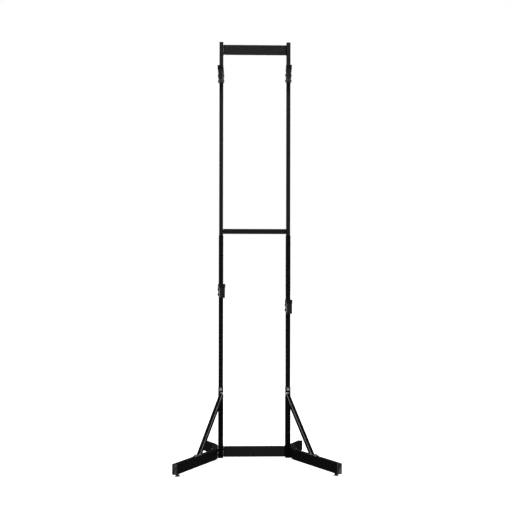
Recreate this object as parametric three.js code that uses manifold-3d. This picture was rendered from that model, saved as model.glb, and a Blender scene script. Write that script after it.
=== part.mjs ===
// Two-tier bicycle rack: a free-standing steel frame that holds two bicycles, one above the other,
// by their top tubes. Two telescoping rectangular posts stand on bent legs, and four padded arms
// slide on the posts and lock with a hand knob behind each post.
//
// Millimetres. X runs to the right, Y to the back and Z up. The origin is on the floor, at the
// middle of the rack's footprint. Inside the frame group, Y = 0 is the plane of the post centres.

import * as THREE from 'three';
import { mergeVertices } from 'three/addons/utils/BufferGeometryUtils.js';
import Module from 'manifold-3d';

const wasm = await Module();
wasm.setup();

// Fits shared by the whole rack
const clearance = 0.3;      // between two pieces that touch or slide
const holeClearance = 0.4;  // between a shank and its hole, on the radius
const overrun = 5;          // how far a cutting tool runs past what it cuts

// Posts, in three stages from the floor up
const postSpacing = 330;    // between the post centres
const postTop = 2051;       // floor to the top of the upper posts
const postWall = 1.2;
const postCorner = 2.5;
const basePostWide = 25.4;
const basePostDeep = 38.1;
const basePostTall = 347;
const middlePostTop = 1105;
const postOverlap = 110;    // how far one stage sits inside the stage below it

// Legs
const legTall = 50;
const legThick = 25;
const legWall = 1.5;
const legCorner = 4;
const legBottom = 13;       // underside above the floor
const legSplay = 25.3;      // degrees that the arms turn away from the front-to-back direction
const legBend = 154.5;      // centre-line radius of the two bends
const legMiddleFront = 15;  // straight middle stretch, ahead of the post centre
const legMiddleBack = 62;   // straight middle stretch, behind the post centre
const legFrontReach = 438.5;
const legRearReach = 205.8;

// Cross pieces between the posts. Front and back are counted from the post centres
const basePlate = { tall: 52.5, sheet: 2.5, bend: 6, lip: 12, front: 17, back: 15 };
const middleBar = { tall: 25, sheet: 2, bend: 6, lip: 9, front: 15, back: 13 };
const topPanel = { tall: 49, sheet: 2, bend: 6, lip: 9, front: 15, back: 13 };
const basePlateRise = 5.4;  // above the undersides of the legs
const middleBarRise = 6.5;  // above the middle posts
const topPanelDrop = 10.5;  // below the tops of the upper posts

// Arms. Heights are counted from the seat, the lowest line of the saddle, where a tube rests
const upperLeftSeat = 1902;
const upperRightSeat = 1906;
const lowerLeftSeat = 859;
const lowerRightSeat = 783.5;
const armReach = 175;       // post centre to the front end
const armTall = 46;
const armWall = 1.5;
const armCorner = 2;

// Counts of facets
const arcFacets = 1;        // pairs of facets on each rounded corner
const seatFacets = 4;       // pairs of facets on the saddle's seat
const rimFacets = 1;        // on a rounded rim
const bendFacets = 5;       // on each bend of a leg
const roundSides = 16;
const smallSides = 10;
const hexSides = 6;

const steel = new THREE.MeshStandardMaterial({ color: 0x17181a, roughness: 0.45, metalness: 0.3 });
const plastic = new THREE.MeshStandardMaterial({ color: 0x2c2d2f, roughness: 0.6, metalness: 0 });
const rubber = new THREE.MeshStandardMaterial({ color: 0x1c1c1d, roughness: 0.9, metalness: 0 });
const zinc = new THREE.MeshStandardMaterial({ color: 0xb4b7ba, roughness: 0.35, metalness: 0.9 });
const nylon = new THREE.MeshStandardMaterial({ color: 0x3a3b3c, roughness: 0.6, metalness: 0 });

// Sizes that follow from the ones above
const middlePostWide = basePostWide - 2 * (postWall + clearance);
const middlePostDeep = basePostDeep - 2 * (postWall + clearance);
const upperPostWide = middlePostWide - 2 * (postWall + clearance);
const upperPostDeep = middlePostDeep - 2 * (postWall + clearance);
const splay = THREE.MathUtils.degToRad(legSplay);
const legLine = basePostWide / 2 + clearance + legThick / 2;  // post centre to the leg's middle
const legTop = legBottom + legTall;
const basePostTop = legBottom + basePostTall;
const basePlateBottom = legBottom + basePlateRise;
const middleBarBottom = middlePostTop + middleBarRise;
const topPanelBottom = postTop - topPanelDrop - topPanel.tall;
const frameShift = (legFrontReach - legRearReach) / 2;

const frame = new THREE.Group();
frame.position.y = frameShift;

const right = new THREE.Vector3(1, 0, 0);
const back = new THREE.Vector3(0, 1, 0);
const front = new THREE.Vector3(0, -1, 0);
const up = new THREE.Vector3(0, 0, 1);
const down = new THREE.Vector3(0, 0, -1);
const point = (x, y, z) => new THREE.Vector3(x, y, z);

// Turns a closed three.js geometry into a solid that can be joined and cut.
function toSolid(geometry) {
  geometry.deleteAttribute('normal');
  geometry.deleteAttribute('uv');
  const merged = mergeVertices(geometry);
  const corners = merged.index.array;
  const kept = [];
  for (let i = 0; i < corners.length; i += 3) {
    const [a, b, c] = corners.slice(i, i + 3);
    if (a !== b && b !== c && c !== a) kept.push(a, b, c);
  }
  const vertProperties = merged.attributes.position.array;
  return new wasm.Manifold(new wasm.Mesh({ numProp: 3, vertProperties, triVerts: new Uint32Array(kept) }));
}

// Turns a solid into a named mesh and hangs it in the frame.
function addNode(name, solid, material, place = new THREE.Vector3()) {
  const { vertProperties, triVerts } = solid.getMesh();
  const geometry = new THREE.BufferGeometry();
  geometry.setAttribute('position', new THREE.BufferAttribute(vertProperties, 3));
  geometry.setIndex(new THREE.BufferAttribute(triVerts, 1));
  geometry.computeVertexNormals();
  const mesh = new THREE.Mesh(geometry, material);
  mesh.name = name;
  mesh.position.copy(place);
  frame.add(mesh);
}

// Joins solids that overlap.
function join(solids) {
  return solids.reduce((all, solid) => all.add(solid));
}

// Moves a geometry drawn on local X, Y and extruded along local Z, so that its Z follows axis
// and its Y follows upright.
function aim(geometry, start, axis, upright = up) {
  const side = new THREE.Vector3().crossVectors(upright, axis).normalize();
  const top = new THREE.Vector3().crossVectors(axis, side);
  geometry.applyMatrix4(new THREE.Matrix4().makeBasis(side, top, axis).setPosition(start));
  return geometry;
}

function extrude(shape, depth) {
  return new THREE.ExtrudeGeometry(shape, { depth, bevelEnabled: false, curveSegments: arcFacets });
}

// Extrudes with its rim rounded by bevel on both ends, inside the outline and the depth.
function extrudeRounded(shape, depth, bevel, facets = arcFacets) {
  const geometry = new THREE.ExtrudeGeometry(shape, {
    depth: depth - 2 * bevel,
    curveSegments: facets,
    bevelThickness: bevel,
    bevelSize: bevel,
    bevelOffset: -bevel,
    bevelSegments: rimFacets,
  });
  return geometry.translate(0, 0, bevel);
}

// Rectangle about the origin with its corners rounded.
function roundedRectangle(wide, tall, radius) {
  const x = wide / 2 - radius;
  const y = tall / 2 - radius;
  const quarter = Math.PI / 2;
  const outline = new THREE.Shape();
  outline.absarc(x, y, radius, 0, quarter);
  outline.absarc(-x, y, radius, quarter, 2 * quarter);
  outline.absarc(-x, -y, radius, 2 * quarter, 3 * quarter);
  outline.absarc(x, -y, radius, 3 * quarter, 4 * quarter);
  return outline;
}

// Section of a rectangular tube, with its bore as a hole.
function tubeSection(wide, tall, wall, corner) {
  const section = roundedRectangle(wide, tall, corner);
  section.holes.push(roundedRectangle(wide - 2 * wall, tall - 2 * wall, corner - wall));
  return section;
}

function polygon(radius, facets) {
  const outline = new THREE.Shape();
  for (let i = 0; i < facets; i += 1) {
    const angle = 2 * Math.PI * i / facets;
    const corner = new THREE.Vector2(radius * Math.cos(angle), radius * Math.sin(angle));
    if (i === 0) outline.moveTo(corner.x, corner.y);
    else outline.lineTo(corner.x, corner.y);
  }
  return outline;
}

// Outline through a list of [x, y] corners.
function outlineOf(corners) {
  return new THREE.Shape(corners.map(([x, y]) => new THREE.Vector2(x, y)));
}

// Box between two opposite corners.
function block(low, high) {
  const size = new THREE.Vector3().subVectors(high, low);
  const middle = new THREE.Vector3().addVectors(low, high).multiplyScalar(1 / 2);
  return toSolid(new THREE.BoxGeometry(size.x, size.y, size.z).translate(middle.x, middle.y, middle.z));
}

// Round rod from start towards axis.
function rod(radius, length, start, axis) {
  return toSolid(aim(extrude(polygon(radius, smallSides), length), start, axis, sideways(axis)));
}

// Any direction square to axis, for pieces that are round about it.
function sideways(axis) {
  return Math.abs(axis.z) > Math.abs(axis.y) ? back : up;
}

// Hexagon across its flats, from hexSides corners.
function hexagon(flats) {
  return polygon(flats / 2 / Math.cos(Math.PI / hexSides), hexSides);
}

// Hexagon-head bolt with its nut screwed on, drawn as one piece. The head sits on face, and the
// shank runs back from it, against axis, through a grip of the given length.
function boltAndNut(size, grip, face, axis) {
  const backwards = axis.clone().negate();
  const headPlace = face.clone().addScaledVector(axis, clearance);
  const nutPlace = face.clone().addScaledVector(backwards, grip + clearance);
  const square = sideways(axis);
  const headShape = extrudeRounded(hexagon(size.head), size.headTall, size.edge);
  const nutShape = extrude(hexagon(size.head), size.nutTall);
  const head = toSolid(aim(headShape, headPlace, axis, square));
  const nut = toSolid(aim(nutShape, nutPlace, backwards, square));
  const shankPlace = headPlace.clone().addScaledVector(axis, size.headTall / 2);
  const shankLength = size.headTall / 2 + grip + 2 * clearance + size.nutTall + size.tail;
  return join([head, nut, rod(size.shank / 2, shankLength, shankPlace, backwards)]);
}

const screwM5 = { shank: 5 };
const boltM6 = { shank: 6, head: 10, headTall: 2.5, nutTall: 3.2, edge: 0.6, tail: 0.5 };
const boltM8 = { shank: 8, head: 13, headTall: 5.3, nutTall: 6.5, edge: 0.8, tail: 2 };

function drill(size, length, start, axis) {
  return rod(size.shank / 2 + holeClearance, length, start, axis);
}

const sides = [{ name: 'left', sign: -1 }, { name: 'right', sign: 1 }];
const postX = (side) => side.sign * postSpacing / 2;
const outwards = (side) => point(side.sign, 0, 0);
const inwards = (side) => point(-side.sign, 0, 0);

// Heights of the fasteners
const braceBoltDrop = 10;    // below the top of the base post
const baseBoltShares = [1 / 4, 3 / 4];
const baseBoltHeights = baseBoltShares.map((share) => legBottom + share * legTall);
const braceBoltHeight = basePostTop - braceBoltDrop;
const jointScrewDrop = 20;   // below the top of the middle post
const panelBoltInset = 12;   // from the panel's edges

// Legs

// Centre line of a leg, from its rear end to its front end, as stations for a sweep: one step for
// each straight stretch and one for each facet of a bend. u is the distance outwards of the post.
class LegLine extends THREE.Curve {
  constructor(side) {
    super();
    this.stations = [];
    const add = (u, y, turn) => this.stations.push({
      point: point(postX(side) + side.sign * u, y, legBottom + legTall / 2),
      tangent: point(side.sign * Math.sin(turn), -Math.cos(turn), 0),
    });
    const bendOut = legBend * (1 - Math.cos(splay));
    const bendAlong = legBend * Math.sin(splay);
    const rear = legRearReach - capThick * Math.cos(splay);
    const front = legFrontReach - capThick * Math.cos(splay);
    const armOut = (reach, middle) => legLine + bendOut + (reach - middle - bendAlong) * Math.tan(splay);
    add(armOut(rear, legMiddleBack), rear, -splay);
    for (let i = 0; i <= bendFacets; i += 1) {
      const turn = splay * (1 - i / bendFacets);
      add(legLine + legBend * (1 - Math.cos(turn)), legMiddleBack + legBend * Math.sin(turn), -turn);
    }
    for (let i = 0; i <= bendFacets; i += 1) {
      const turn = splay * i / bendFacets;
      add(legLine + legBend * (1 - Math.cos(turn)), -legMiddleFront - legBend * Math.sin(turn), turn);
    }
    add(armOut(front, legMiddleFront), -front, splay);
  }

  station(share) {
    return this.stations[Math.round(share * (this.stations.length - 1))];
  }

  getPointAt(share, target = new THREE.Vector3()) {
    return target.copy(this.station(share).point);
  }

  getTangentAt(share, target = new THREE.Vector3()) {
    return target.copy(this.station(share).tangent);
  }
}

const capThick = 4;          // flange of a leg end cap
const capPlug = 16;          // length inside the tube
const capEdge = 1.5;
const footInset = 32;        // foot to the end of the leg
const braceFootReach = 245;  // post centre to the brace's lower bolt, front to back

// The end of a leg's centre line, where the tube is cut, and the direction out of that end.
function legEnd(side, isFront) {
  const line = new LegLine(side);
  const { point: end, tangent } = line.station(isFront ? 1 : 0);
  return { end, out: isFront ? tangent : tangent.clone().negate() };
}

// Where the front arm's centre line crosses a plane ahead of the posts.
function frontArmAt(side, reach) {
  const { end, out } = legEnd(side, true);
  return end.clone().addScaledVector(out, -(end.y + reach) / out.y);
}

function legSolid(side) {
  const line = new LegLine(side);
  const section = tubeSection(legTall, legThick, legWall, legCorner);
  const steps = line.stations.length - 1;
  const sweep = { steps, curveSegments: arcFacets, extrudePath: line };
  let leg = toSolid(new THREE.ExtrudeGeometry(section, sweep));
  for (const height of baseBoltHeights) {
    const start = point(postX(side), 0, height);
    leg = leg.subtract(drill(boltM8, legLine + legThick + overrun, start, outwards(side)));
  }
  for (const isFront of [false, true]) {
    const foot = footPlace(side, isFront);
    const weldNut = extrude(hexagon(footStud.head), footStud.nutTall + legWall / 2);
    leg = leg.add(toSolid(aim(weldNut, foot.clone().setZ(legBottom + legWall / 2), up, back)));
    const drillLength = legWall + footStud.nutTall + 2 * overrun;
    leg = leg.subtract(drill(footStud, drillLength, foot.clone().setZ(legBottom - overrun), up));
  }
  const braceBolt = frontArmAt(side, braceFootReach).setZ(legTop - legWall - overrun);
  return leg.subtract(drill(boltM8, legWall + 2 * overrun, braceBolt, up));
}

function footPlace(side, isFront) {
  const { end, out } = legEnd(side, isFront);
  return end.clone().addScaledVector(out, capThick - footInset);
}

function legCap(side, isFront) {
  const { end, out } = legEnd(side, isFront);
  const fit = legWall + clearance;
  const outer = roundedRectangle(legThick, legTall, legCorner);
  const inner = roundedRectangle(legThick - 2 * fit, legTall - 2 * fit, legCorner - fit);
  const flange = extrudeRounded(outer, capThick - clearance, capEdge);
  const plug = extrude(inner, capPlug + capEdge);
  const start = end.clone().addScaledVector(out, clearance);
  const inside = start.clone().addScaledVector(out, -capPlug);
  return toSolid(aim(flange, start, out)).add(toSolid(aim(plug, inside, out)));
}

// Levelling feet: a glide with a hexagon for the spanner and a stud that screws into the leg
const footStud = { shank: 8, head: 13, nutTall: 6 };
const footPad = { radius: 12.5, edge: 1, rim: 3, shoulder: 6, collar: 6.5, hexagonTall: 5 };
const footStudTop = 42;      // end of the stud, inside the leg

function footSolid() {
  const stud = footStud.shank / 2;
  const neck = legBottom - clearance;
  const { radius: rimRadius, edge, rim, shoulder, collar } = footPad;
  const profile = [
    [0, 0],
    [rimRadius - edge, 0],
    [rimRadius, edge],
    [rimRadius, rim],
    [collar, shoulder],
    [collar, neck - edge],
    [stud, neck - edge],
    [stud, footStudTop - edge],
    [stud - edge, footStudTop],
    [0, footStudTop],
  ];
  const points = profile.map(([radius, height]) => new THREE.Vector2(radius, height));
  const turned = toSolid(new THREE.LatheGeometry(points, roundSides).rotateX(Math.PI / 2));
  const spannerHex = extrude(hexagon(footStud.head), footPad.hexagonTall);
  return turned.add(toSolid(spannerHex.translate(0, 0, neck - footPad.hexagonTall)));
}

// Posts
const jointScrewHeight = middlePostTop - jointScrewDrop;

function post(wide, deep, bottom, top) {
  const section = tubeSection(wide, deep, postWall, postCorner);
  return toSolid(extrude(section, top - bottom).translate(0, 0, bottom));
}

function basePost(side) {
  let solid = post(basePostWide, basePostDeep, legBottom, basePostTop);
  for (const height of baseBoltHeights) {
    const start = point(-basePostWide / 2 - overrun, 0, height);
    solid = solid.subtract(drill(boltM8, basePostWide + 2 * overrun, start, right));
  }
  return solid.subtract(frontHole(boltM8, basePostDeep, braceBoltHeight));
}

// A hole right through a post, front to back.
function frontHole(size, deep, height) {
  return drill(size, deep + 2 * overrun, point(0, -deep / 2 - overrun, height), back);
}

function middlePost() {
  const solid = post(middlePostWide, middlePostDeep, basePostTop - postOverlap, middlePostTop);
  const screwHole = drill(screwM5, middlePostDeep / 2 + overrun, point(0, 0, jointScrewHeight), back);
  return solid.subtract(frontHole(boltM8, basePostDeep, braceBoltHeight)).subtract(screwHole);
}

function upperPost(side) {
  let solid = post(upperPostWide, upperPostDeep, middlePostTop - postOverlap, postTop);
  solid = solid.subtract(drill(screwM5, middlePostDeep / 2 + overrun, point(0, 0, jointScrewHeight), back));
  for (const height of [middleBoltHeight, ...panelBoltHeights]) {
    solid = solid.subtract(drill(boltM6, upperPostWide / 2 + overrun, point(0, 0, height), inwards(side)));
  }
  return solid;
}

const postCapThick = 3;
const postCapPlug = 18;      // length inside the post

function postCap() {
  const fit = postWall + clearance;
  const outer = roundedRectangle(upperPostWide, upperPostDeep, postCorner);
  const rim = extrudeRounded(outer, postCapThick, capEdge / 2);
  const plugWide = upperPostWide - 2 * fit;
  const plugDeep = upperPostDeep - 2 * fit;
  const plug = extrude(roundedRectangle(plugWide, plugDeep, postCorner - postWall), postCapPlug + capEdge);
  return toSolid(rim).add(toSolid(plug.translate(0, 0, -postCapPlug)));
}

// Cross pieces: a folded sheet channel with a tab at each end, bolted to the inner faces of the posts
const middleBoltHeight = middleBarBottom + middleBar.tall / 2;
const panelTop = topPanelBottom + topPanel.tall;
const panelBoltHeights = [topPanelBottom + panelBoltInset, panelTop - panelBoltInset];

// Web and end tabs seen from above, with rounded folds.
function tabbedPlan(span, piece) {
  const x = span / 2;
  const middle = x - piece.bend;
  const fold = piece.bend - piece.front;
  const quarter = Math.PI / 2;
  const plan = new THREE.Shape();
  plan.moveTo(-x, piece.back);
  plan.absarc(-middle, fold, piece.bend, 2 * quarter, 3 * quarter);
  plan.absarc(middle, fold, piece.bend, 3 * quarter, 4 * quarter);
  plan.lineTo(x, piece.back);
  plan.lineTo(x - piece.sheet, piece.back);
  plan.absarc(middle, fold, piece.bend - piece.sheet, 4 * quarter, 3 * quarter, true);
  plan.absarc(-middle, fold, piece.bend - piece.sheet, 3 * quarter, 2 * quarter, true);
  plan.lineTo(-x + piece.sheet, piece.back);
  return plan;
}

// Web and lips seen from the end, as local X to the back and local Y up.
function lippedSection(piece) {
  const { tall, sheet, bend, front: face } = piece;
  const radius = bend / 2;
  const y = tall / 2 - radius;
  const fold = radius - face;
  const lipEnd = piece.lip - face;
  const quarter = Math.PI / 2;
  const section = new THREE.Shape();
  section.moveTo(lipEnd, tall / 2);
  section.absarc(fold, y, radius, quarter, 2 * quarter);
  section.absarc(fold, -y, radius, 2 * quarter, 3 * quarter);
  section.lineTo(lipEnd, -tall / 2);
  section.lineTo(lipEnd, sheet - tall / 2);
  section.absarc(fold, -y, radius - sheet, 3 * quarter, 2 * quarter, true);
  section.absarc(fold, y, radius - sheet, 2 * quarter, quarter, true);
  section.lineTo(lipEnd, tall / 2 - sheet);
  return section;
}

// Rounded-front envelope of a cross piece, seen from the end.
function frontRounded(piece) {
  const radius = piece.bend / 2;
  const deep = 2 * (piece.front + piece.back);
  return { outline: roundedRectangle(deep, piece.tall, radius), shift: deep / 2 - piece.front };
}

function crossPiece(span, bottom, piece, boltSize, boltHeights) {
  const plan = extrude(tabbedPlan(span, piece), piece.tall).translate(0, 0, bottom);
  const middleHeight = bottom + piece.tall / 2;
  const envelope = frontRounded(piece);
  const start = point(-span / 2 - overrun, envelope.shift, middleHeight);
  const rounded = toSolid(aim(extrude(envelope.outline, span + 2 * overrun), start, right));
  const lipSpan = span - 2 * (piece.bend + piece.sheet);
  const lipStart = point(-lipSpan / 2, 0, middleHeight);
  const lips = toSolid(aim(extrude(lippedSection(piece), lipSpan), lipStart, right));
  let solid = toSolid(plan).intersect(rounded).add(lips);
  for (const height of boltHeights) {
    solid = solid.subtract(drill(boltSize, span + 2 * overrun, point(-span / 2 - overrun, 0, height), right));
  }
  return solid;
}

const baseSpan = postSpacing - basePostWide - 2 * clearance;
const upperSpan = postSpacing - upperPostWide - 2 * clearance;

function baseBolt(side, height) {
  const inner = point(side.sign * (baseSpan / 2 - basePlate.sheet), 0, height);
  const outer = postX(side) + side.sign * (legLine + legThick / 2);
  return boltAndNut(boltM8, Math.abs(outer - inner.x), inner, inwards(side));
}

// Braces: an angle section between two flat tabs
const brace = {
  flange: 18,
  sheet: 2,
  corner: 2.5,
  turn: 34,        // degrees that the outer flange falls back from facing the front
};
const braceTab = { sheet: 2.5, wide: 24, rise: 9, drop: 21 };    // rise and drop from the upper bolt
const braceLean = 6;             // strut's top, from the middle of the tab towards the other post
const braceFoot = { wide: 20, heel: 46, toe: 12, landing: 38 };  // from the lower bolt along the leg

const braceTabBack = -basePostDeep / 2 - clearance;  // the upper tab's face against the post

// Angle section with its ridge to the front: local X outwards, local Y to the front.
function angleSection(sign) {
  const { flange, sheet } = brace;
  const quarter = Math.PI / 2;
  const turn = THREE.MathUtils.degToRad(brace.turn);
  const section = new THREE.Shape();
  section.moveTo(flange, 0);
  section.lineTo(flange, -sheet);
  section.lineTo(sheet, -sheet);
  section.lineTo(sheet, -flange);
  section.lineTo(0, -flange);
  section.absarc(brace.corner, -brace.corner, brace.corner, 2 * quarter, quarter, true);
  const spots = section.getPoints(arcFacets);
  const across = flange * (Math.cos(turn) - Math.sin(turn)) / 2;
  const along = flange * Math.cos(turn) / 2;
  const turned = spots.map((spot) => {
    const x = spot.x * Math.cos(turn) + spot.y * Math.sin(turn) - across;
    const y = spot.y * Math.cos(turn) - spot.x * Math.sin(turn) + along;
    return new THREE.Vector2(sign * x, y);
  });
  return new THREE.Shape(turned);
}

// Upper tab, flat on the front of the base post.
function braceTabSolid(side) {
  const outline = roundedRectangle(braceTab.wide, braceTab.rise + braceTab.drop, brace.corner);
  const middle = point(postX(side), braceTabBack, braceBoltHeight + (braceTab.rise - braceTab.drop) / 2);
  return toSolid(aim(extrude(outline, braceTab.sheet), middle, front));
}

// Lower tab, flat on the leg and pointing along it.
function braceFootSolid(legPoint, out) {
  const outline = roundedRectangle(braceFoot.wide, braceFoot.heel + braceFoot.toe, brace.corner);
  const middle = legPoint.clone().addScaledVector(out, (braceFoot.toe - braceFoot.heel) / 2);
  return toSolid(aim(extrude(outline, braceTab.sheet), middle.setZ(legTop + clearance), up, out));
}

// Strut from the upper tab's lower edge to the lower tab, trimmed clear of the post and the leg.
function strutSolid(side, legPoint, out) {
  const tabBottom = braceBoltHeight - braceTab.drop;
  const topX = postX(side) - side.sign * braceLean;
  const top = point(topX, braceTabBack - braceTab.sheet, tabBottom);
  const foot = legPoint.clone().addScaledVector(out, -braceFoot.landing).setZ(legTop + clearance);
  const run = new THREE.Vector3().subVectors(foot, top);
  const axis = run.clone().normalize();
  const ahead = front.clone().addScaledVector(axis, -front.dot(axis)).normalize();
  const start = top.clone().addScaledVector(axis, -brace.flange);
  const long = run.length() + 2 * brace.flange;
  const strut = toSolid(aim(extrude(angleSection(side.sign), long), start, axis, ahead));
  const low = point(-postSpacing, -legFrontReach, legTop + clearance);
  const high = point(postSpacing, braceTabBack, tabBottom + braceTab.rise);
  return strut.intersect(block(low, high));
}

function braceSolid(side) {
  const legPoint = frontArmAt(side, braceFootReach);
  const { out } = legEnd(side, true);
  const upperHole = point(postX(side), braceTabBack + overrun, braceBoltHeight);
  const lowerHole = legPoint.clone().setZ(legTop - overrun);
  const holeLong = braceTab.sheet + clearance + 2 * overrun;
  return join([strutSolid(side, legPoint, out), braceTabSolid(side), braceFootSolid(legPoint, out)])
    .subtract(drill(boltM8, holeLong, upperHole, front))
    .subtract(drill(boltM8, holeLong, lowerHole, up));
}

function braceUpperBolt(side) {
  const face = point(postX(side), braceTabBack - braceTab.sheet, braceBoltHeight);
  return boltAndNut(boltM8, basePostDeep / 2 - face.y, face, front);
}

function braceLowerBolt(side) {
  const face = frontArmAt(side, braceFootReach).setZ(legTop + clearance + braceTab.sheet);
  return boltAndNut(boltM8, face.z - legTop + legWall, face, up);
}

// Arms
const bracket = {
  sheet: 2,
  play: 0.9,       // between bracket and post, so that an arm can be set a little askew
  top: 6,          // above the seat
  wrap: 35,        // height of the side plates beside the post
  neck: 5,         // level top, ahead of the post
  nose: 36,        // side plates ahead of the post
  noseTop: -10,
  noseBottom: -50,
  chin: -54,       // lowest point, at the post's front face
  throat: 12,      // from the chin back to the wrap's lower edge
  tail: 15,        // side plates behind the post
};
const nutBlock = { gap: 7, thick: 6, tall: 23 };
const studSize = { shank: 6 };
const knob = { radius: 12, lobe: 1.2, lobes: 6, lobeFacets: 4, thick: 15, edge: 1.5, collar: 7 };
const cradle = {
  wide: 28,
  base: 8,         // seat above the saddle's underside
  lipRise: 11,
  lipThick: 7,
  valley: 32,      // radius of the seat
  humpRise: 8,
  humpThick: 10,
  tailThick: 5,
  tailEnd: 58,     // rear end of the saddle, ahead of the post centre
  edge: 1.5,
  peg: 6,
};
const plugFlange = { over: 0.6, thick: 4, below: 2, insert: 16, edge: 1 };
const armBoltHigh = { drop: 18, ahead: 24 };  // below the seat, and ahead of the post
const armBoltLow = { drop: 44, ahead: 12 };

const armTop = -cradle.base - clearance;
const armMiddle = armTop - armTall / 2;

// Side plate of a bracket seen from the side, as local X to the back and local Y up.
function plateOutline(halfDeep) {
  const wrapBottom = bracket.top - bracket.wrap;
  return outlineOf([
    [halfDeep + bracket.tail, wrapBottom],
    [halfDeep + bracket.tail, bracket.top],
    [-halfDeep - bracket.neck, bracket.top],
    [-halfDeep - bracket.nose, bracket.noseTop],
    [-halfDeep - bracket.nose, bracket.noseBottom],
    [-halfDeep, bracket.chin],
    [bracket.throat - halfDeep, wrapBottom],
  ]);
}

// Two side plates joined by a web ahead of the post and by a block with the knob's thread behind it.
function bracketSolid(stage) {
  const halfDeep = stage.deep / 2;
  const inner = stage.wide / 2 + bracket.play;
  const outer = inner + bracket.sheet;
  const plates = [-outer, inner].map((x) => {
    const plate = extrude(plateOutline(halfDeep), bracket.sheet);
    return toSolid(aim(plate, point(x, 0, 0), right));
  });
  const webBack = -halfDeep - bracket.play;
  const web = block(point(-outer, webBack - bracket.sheet, bracket.chin), point(outer, webBack, bracket.top));
  const blockFront = halfDeep + nutBlock.gap;
  const blockLow = point(-outer, blockFront, bracket.top - nutBlock.tall);
  const blockHigh = point(outer, blockFront + nutBlock.thick, bracket.top);
  const studStart = point(0, blockFront - overrun, knobHeight);
  const studHole = drill(studSize, nutBlock.thick + 2 * overrun, studStart, back);
  let solid = join([...plates, web, block(blockLow, blockHigh)]).subtract(studHole);
  for (const place of armBoltPlaces(stage)) {
    solid = solid.subtract(drill(boltM6, 2 * (outer + overrun), place.setX(-outer - overrun), right));
  }
  return solid;
}

const knobHeight = bracket.top - nutBlock.tall / 2;

function armBoltPlaces(stage) {
  return [armBoltHigh, armBoltLow].map(({ drop, ahead }) => point(0, -stage.deep / 2 - ahead, -drop));
}

// The arm's tube fills its bracket, which is wider than the post by its play.
function armWide(stage) {
  return stage.wide + 2 * (bracket.play - clearance);
}

function armTubeSolid(stage) {
  const rear = -stage.deep / 2 - bracket.play - bracket.sheet - clearance;
  const wide = armWide(stage);
  const length = armReach - plugFlange.thick + rear;
  const section = tubeSection(wide, armTall, armWall, armCorner);
  let tube = toSolid(aim(extrude(section, length), point(0, rear, armMiddle), front));
  for (const place of armBoltPlaces(stage)) {
    place.setX(-wide / 2 - overrun);
    tube = tube.subtract(drill(boltM6, wide + 2 * overrun, place, right));
  }
  for (const y of pegPlaces) {
    const pegHole = point(0, y, armTop - overrun);
    tube = tube.subtract(drill({ shank: cradle.peg }, 2 * overrun, pegHole, up));
  }
  return tube;
}

// Side view of the saddle, as local X to the back and local Y up: front lip, seat, hump and tail.
function cradleOutline() {
  const lipInner = cradle.lipThick - armReach;
  const lipAngle = Math.acos(1 - cradle.lipRise / cradle.valley);
  const humpAngle = Math.acos(1 - cradle.humpRise / cradle.valley);
  const seat = lipInner + cradle.valley * Math.sin(lipAngle);
  const humpBack = seat + cradle.valley * Math.sin(humpAngle) + cradle.humpThick;
  const outline = new THREE.Shape();
  outline.moveTo(-armReach, -cradle.base);
  outline.lineTo(-cradle.tailEnd, -cradle.base);
  outline.lineTo(-cradle.tailEnd, cradle.tailThick - cradle.base);
  outline.lineTo(humpBack, cradle.humpRise);
  const bottom = 3 * Math.PI / 2;
  outline.absarc(seat, cradle.valley, cradle.valley, bottom + humpAngle, bottom - lipAngle, true);
  outline.lineTo(-armReach, cradle.lipRise);
  return outline;
}

const pegInsets = { front: 30, tail: 21 };  // pegs from the saddle's front face and tail
const pegPlaces = [pegInsets.front - armReach, -pegInsets.tail - cradle.tailEnd];
const pegBarb = { over: 1.5, tall: 3 };  // holds a peg under the tube's wall

function cradleSolid() {
  const start = point(-cradle.wide / 2, 0, 0);
  const rounded = extrudeRounded(cradleOutline(), cradle.wide, cradle.edge, seatFacets);
  const saddle = toSolid(aim(rounded, start, right));
  const barbTop = armTop - armWall - clearance;
  const pegTop = -cradle.base / 2;
  const pegs = pegPlaces.flatMap((y) => [
    rod(cradle.peg / 2, pegTop - barbTop + pegBarb.tall, point(0, y, pegTop), down),
    rod(cradle.peg / 2 + pegBarb.over, pegBarb.tall, point(0, y, barbTop), down),
  ]);
  return join([saddle, ...pegs]);
}

function plugSolid(stage) {
  const wide = armWide(stage) + 2 * plugFlange.over;
  const tall = armTall + plugFlange.below;
  const faceHeight = armTop - tall / 2;
  const faceStart = point(0, plugFlange.thick - armReach - clearance, faceHeight);
  const face = roundedRectangle(wide, tall, armCorner);
  const flange = extrudeRounded(face, plugFlange.thick - clearance, plugFlange.edge);
  const fit = armWall + clearance;
  const section = roundedRectangle(armWide(stage) - 2 * fit, armTall - 2 * fit, armCorner - armWall);
  const insertStart = point(0, plugFlange.insert - armReach + plugFlange.thick, armMiddle);
  const insert = extrude(section, plugFlange.insert + plugFlange.edge);
  return toSolid(aim(flange, faceStart, front)).add(toSolid(aim(insert, insertStart, front)));
}

function armBolt(stage, place) {
  const outer = stage.wide / 2 + bracket.play + bracket.sheet;
  return boltAndNut(boltM6, 2 * outer, place.clone().setX(outer), right);
}

// Lobed outline of a hand knob: the radius swells by lobe at each lobe.
function knobOutline() {
  const spots = [];
  const count = knob.lobes * knob.lobeFacets;
  for (let i = 0; i < count; i += 1) {
    const angle = 2 * Math.PI * i / count;
    const radius = knob.radius - knob.lobe * (1 - Math.cos(knob.lobes * angle)) / 2;
    spots.push([radius * Math.cos(angle), radius * Math.sin(angle)]);
  }
  return outlineOf(spots);
}

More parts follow.
